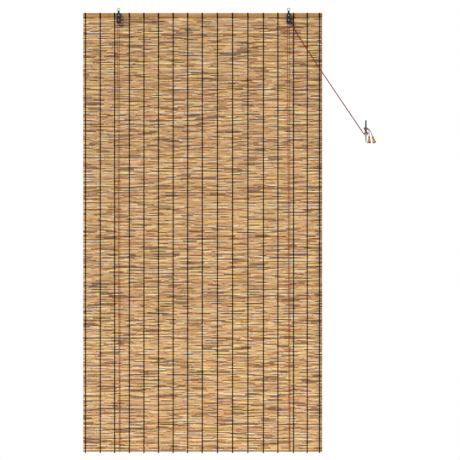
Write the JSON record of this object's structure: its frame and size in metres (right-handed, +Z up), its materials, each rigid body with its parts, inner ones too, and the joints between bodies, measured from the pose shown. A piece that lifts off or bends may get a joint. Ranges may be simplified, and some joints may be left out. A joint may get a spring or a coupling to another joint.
{
  "type": "reed roll up blind",
  "caption": "Reed mat blind bound with dark threads under a bamboo batten, hung from eyed pulley brackets, its lift cords tied to a wall cleat and ending in wooden tassels.",
  "frame": {"origin": "midway between the bores of the two hanging eyes", "axes": "+X to the right along the blind seen from its front, +Y towards the wall, +Z up"},
  "size_m": [1.4697, 0.0296, 2.2326],
  "materials": {
    "reed": "dry split reed, straw to grey-brown, satin skin",
    "bamboo": "golden-brown lacquered bamboo",
    "warp_thread": "black twisted yarn",
    "black_steel": "black satin paint",
    "black_nylon": "matt black nylon",
    "bright_steel": "bright nickel plate",
    "cord": "rust-brown braided cord",
    "zinc": "zinc plate",
    "turned_wood": "varnished turned wood"
  },
  "bodies": {
    "blind": {"bottom_rod": "bamboo", "cleat": "zinc", "cleat_hitch": "cord", "cord_guide_pin": "bright_steel", "head_batten": "bamboo", "left_axle_rivet": "bright_steel", "left_bracket_screw": "bright_steel", "left_cord_staple": "bright_steel", "left_cord_tail": "cord", "left_lift_cord": "cord", "left_pulley_bracket": "black_steel", "left_spacer_bush": "bright_steel", "left_tassel": "turned_wood", "reed_mat": "reed", "right_axle_rivet": "bright_steel", "right_bracket_screw": "bright_steel", "right_cord_staple": "bright_steel", "right_cord_tail": "cord", "right_lift_cord": "cord", "right_pulley_bracket": "black_steel", "right_spacer_bush": "bright_steel", "right_tassel": "turned_wood", "warp_thread_01": "warp_thread", "warp_thread_02": "warp_thread", "warp_thread_03": "warp_thread", "warp_thread_04": "warp_thread", "warp_thread_05": "warp_thread", "warp_thread_06": "warp_thread", "warp_thread_07": "warp_thread", "warp_thread_08": "warp_thread", "warp_thread_09": "warp_thread", "warp_thread_10": "warp_thread", "warp_thread_11": "warp_thread", "warp_thread_12": "warp_thread", "warp_thread_13": "warp_thread", "warp_thread_14": "warp_thread", "warp_thread_15": "warp_thread", "warp_thread_16": "warp_thread", "warp_thread_17": "warp_thread"},
    "left_sheave": {"left_sheave": "black_nylon"},
    "right_sheave": {"right_sheave": "black_nylon"},
    "left_eye": {"left_hanging_eye": "bright_steel"},
    "right_eye": {"right_hanging_eye": "bright_steel"}
  },
  "joints": [
    {"name": "left_sheave_spin", "type": "hinge", "parent": "blind", "child": "left_sheave", "pos_m": [-0.426, 0, -0.0535], "axis": [0, 1, 0], "continuous": true},
    {"name": "right_sheave_spin", "type": "hinge", "parent": "blind", "child": "right_sheave", "pos_m": [0.426, 0, -0.0535], "axis": [0, 1, 0], "continuous": true},
    {"name": "left_eye_swivel", "type": "hinge", "parent": "blind", "child": "left_eye", "pos_m": [-0.426, 0, 0], "axis": [0, 0, 1], "continuous": true},
    {"name": "right_eye_swivel", "type": "hinge", "parent": "blind", "child": "right_eye", "pos_m": [0.426, 0, 0], "axis": [0, 0, 1], "continuous": true}
  ],
  "couplings": [
    {"joint": "right_sheave_spin", "follows": "left_sheave_spin", "ratio": 1}
  ]
}
